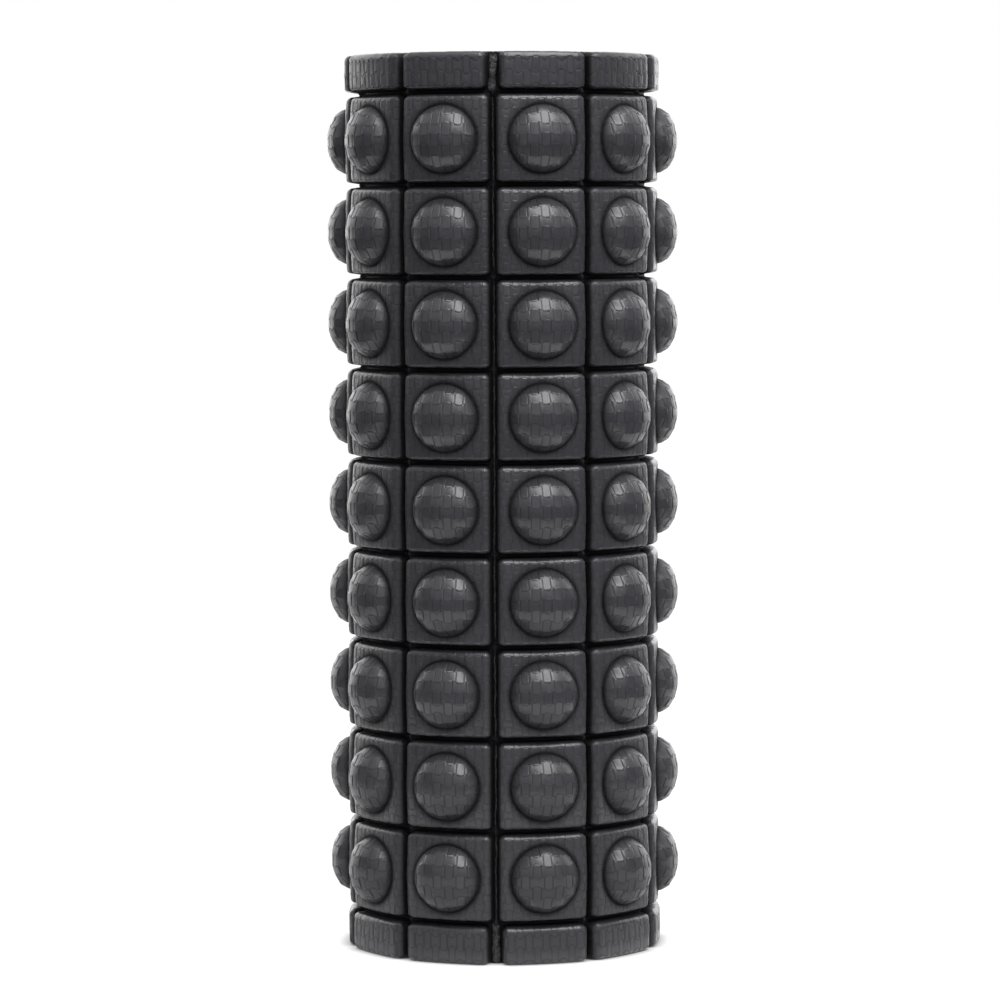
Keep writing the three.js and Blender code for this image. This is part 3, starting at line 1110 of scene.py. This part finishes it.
# The camera, in the photograph's place
CAMERA_LENS = 162.69
CAMERA_CLIP = (0.05, 50)
CAMERA_DISTANCE = 1.6838
CAMERA_TURN = math.radians(3.46)
CAMERA_HEIGHT = 0.2733
CAMERA_TILT = math.radians(3.66)
CAMERA_ROLL = math.radians(-0.225)
CAMERA_SIDESTEP = -0.00122


def add_camera():
    data = bpy.data.cameras.new("camera")
    data.lens = CAMERA_LENS
    data.clip_start, data.clip_end = CAMERA_CLIP
    camera = add_object("camera", data)
    camera.matrix_world = (
        Matrix.Rotation(CAMERA_TURN, 4, "Z")
        @ Matrix.Translation((CAMERA_SIDESTEP, -CAMERA_DISTANCE, CAMERA_HEIGHT))
        @ Matrix.Rotation(math.pi / 2 - CAMERA_TILT, 4, "X")
        @ Matrix.Rotation(CAMERA_ROLL, 4, "Z")
    )
    bpy.context.scene.camera = camera


# The studio, in metres: one soft box overhead on the right, and a pale room. Only reflections see
# the rest: a dark wall in front, darker ones at the sides and a bright backdrop.
BOX_TURN = math.radians(34)
BOX_REACH = 0.625
BOX_HEIGHT = 1.34
BOX_WIDTH = 1.13
BOX_LENGTH = 1.35
BOX_RADIANCE = 6.7
FILL_LEVEL = 0.5
STRIP_SIDES = 48
WALL_RADIUS = 2.5
WALL_FOOT = 0.003
DARK_TURN = math.radians(118)
FRONT_TURN = math.radians(56)
FRONT_HEIGHT = 0.62
FRONT_LEVEL = 0.5
SIDE_HEIGHT = 1.0
SIDE_LEVEL = 0.2
BACKDROP_RADIUS = 2.7
BACKDROP_TURN = math.radians(75)
BACKDROP_HEIGHT = 2.2
BACKDROP_LEVEL = 2.5

# The floor, and the rings on it that reflections see: inner radius, outer radius and level
FLOOR_HALF_SIDE = 12.0
FLOOR_ALBEDO = 0.9
FLOOR_SEEN = 0.15
FLOOR_GLOW = 0.96
FLOOR_GLOSS_GLOW = 0.3
# How far the painted contact shade on the floor reaches
CONTACT_REACH = 0.005
RING_HEIGHT = 0.002
FLOOR_RINGS = {
    "near_floor": (0.067, 0.16, 0.9),
    "middle_floor": (0.33, 0.6, 0.3),
    "far_floor": (0.6, WALL_RADIUS, 0.12),
}


def add_softbox():
    data = bpy.data.lights.new("softbox", "AREA")
    data.shape = "RECTANGLE"
    data.size, data.size_y = BOX_WIDTH, BOX_LENGTH
    data.energy = BOX_RADIANCE * math.pi * BOX_WIDTH * BOX_LENGTH
    lamp = add_object("softbox", data)
    tilt = math.atan2(BOX_REACH, BOX_HEIGHT - ROLLER_LENGTH / 2 * MM)
    lamp.matrix_world = (
        Matrix.Rotation(BOX_TURN, 4, "Z")
        @ Matrix.Translation((0, -BOX_REACH, BOX_HEIGHT))
        @ Matrix.Rotation(tilt, 4, "X")
    )


def light_room():
    """A room that looks white, also in reflections, and gives a dimmer light."""
    world = bpy.data.worlds.new("room")
    bpy.context.scene.world = world
    world.use_nodes = True
    nodes = Nodes(world.node_tree)
    background = next(node for node in world.node_tree.nodes if node.type == "BACKGROUND")
    rays = nodes.add("LightPath").outputs
    seen = nodes.calc("MAXIMUM", rays["Is Camera Ray"], rays["Is Glossy Ray"])
    seen = nodes.calc("MAXIMUM", seen, rays["Is Transmission Ray"])
    level = nodes.add("MapRange", {"Value": seen, "To Min": FILL_LEVEL})
    nodes.fill(background, {"Color": WHITE, "Strength": level.outputs["Result"]})


def add_stage_piece(name, places, faces, material):
    mesh = bpy.data.meshes.new(name)
    mesh.from_pydata(places, [], faces)
    mesh.materials.append(material)
    piece = add_object(name, mesh)
    return piece


def add_floor():
    """A white floor. The camera sees it overexposed, with the shade where the roller touches it:
    partly its real shadow, partly painted shade from ambient occlusion on its glow.
    """
    material, shader, nodes = node_material("floor")
    rays = nodes.add("LightPath").outputs
    seen = nodes.calc("MAXIMUM", rays["Is Camera Ray"], rays["Is Transmission Ray"])
    # Painted contact shade: ambient occlusion near the roller darkens the glow that the camera sees
    painted_contact_shade = nodes.add("AmbientOcclusion", {"Distance": CONTACT_REACH}, samples=8)
    glow = nodes.calc("MULTIPLY", painted_contact_shade.outputs["AO"], FLOOR_GLOW)
    gloss_glow = nodes.calc("MULTIPLY", rays["Is Glossy Ray"], FLOOR_GLOSS_GLOW)
    nodes.fill(shader, {
        "Base Color": nodes.blend(seen, [FLOOR_ALBEDO] * 3, [FLOOR_SEEN] * 3),
        "Roughness": 0.9,
        "Specular IOR Level": 0.0,
        "Emission Color": WHITE,
        "Emission Strength": nodes.calc("ADD", nodes.calc("MULTIPLY", seen, glow), gloss_glow),
    })
    side = FLOOR_HALF_SIDE
    corners = [(-side, -side, 0), (side, -side, 0), (side, side, 0), (-side, side, 0)]
    add_stage_piece("floor", corners, [(0, 1, 2, 3)], material)


def add_seen_in_gloss(name, rings, half_turn, middle, level):
    """A strip between two arcs, each a radius and a height, that only reflections see."""
    material = bpy.data.materials.new(name)
    material.use_nodes = True
    material.node_tree.nodes.clear()
    nodes = Nodes(material.node_tree)
    glow = nodes.add("Emission", {"Color": WHITE, "Strength": level})
    nodes.add("OutputMaterial", {"Surface": glow.outputs["Emission"]})
    turns = np.linspace(-half_turn, half_turn, STRIP_SIDES + 1) + middle
    places = np.concatenate([polar(radius, turns, height) for radius, height in rings]).tolist()
    above = STRIP_SIDES + 1
    faces = [(k, k + 1, k + 1 + above, k + above) for k in range(STRIP_SIDES)]
    piece = add_stage_piece(name, places, faces, material)
    piece.visible_camera = False
    piece.visible_diffuse = False
    piece.visible_transmission = False
    piece.visible_shadow = False
    piece.visible_volume_scatter = False


def add_wall(name, radius, height, half_turn, middle, level):
    add_seen_in_gloss(name, ((radius, WALL_FOOT), (radius, height)), half_turn, middle, level)


add_camera()
add_softbox()
light_room()
add_floor()
front, back = CAMERA_TURN - math.pi / 2, CAMERA_TURN + math.pi / 2
side_turn = (DARK_TURN - FRONT_TURN) / 2
side_middle = FRONT_TURN + side_turn
add_wall("dark_wall", WALL_RADIUS, FRONT_HEIGHT, FRONT_TURN, front, FRONT_LEVEL)
add_wall("left_wall", WALL_RADIUS, SIDE_HEIGHT, side_turn, front - side_middle, SIDE_LEVEL)
add_wall("right_wall", WALL_RADIUS, SIDE_HEIGHT, side_turn, front + side_middle, SIDE_LEVEL)
for name, (inner, outer, level) in FLOOR_RINGS.items():
    add_seen_in_gloss(name, ((inner, RING_HEIGHT), (outer, RING_HEIGHT)), DARK_TURN, front, level)
add_wall("bright_backdrop", BACKDROP_RADIUS, BACKDROP_HEIGHT, BACKDROP_TURN, back, BACKDROP_LEVEL)
bpy.context.scene.view_settings.view_transform = "Standard"
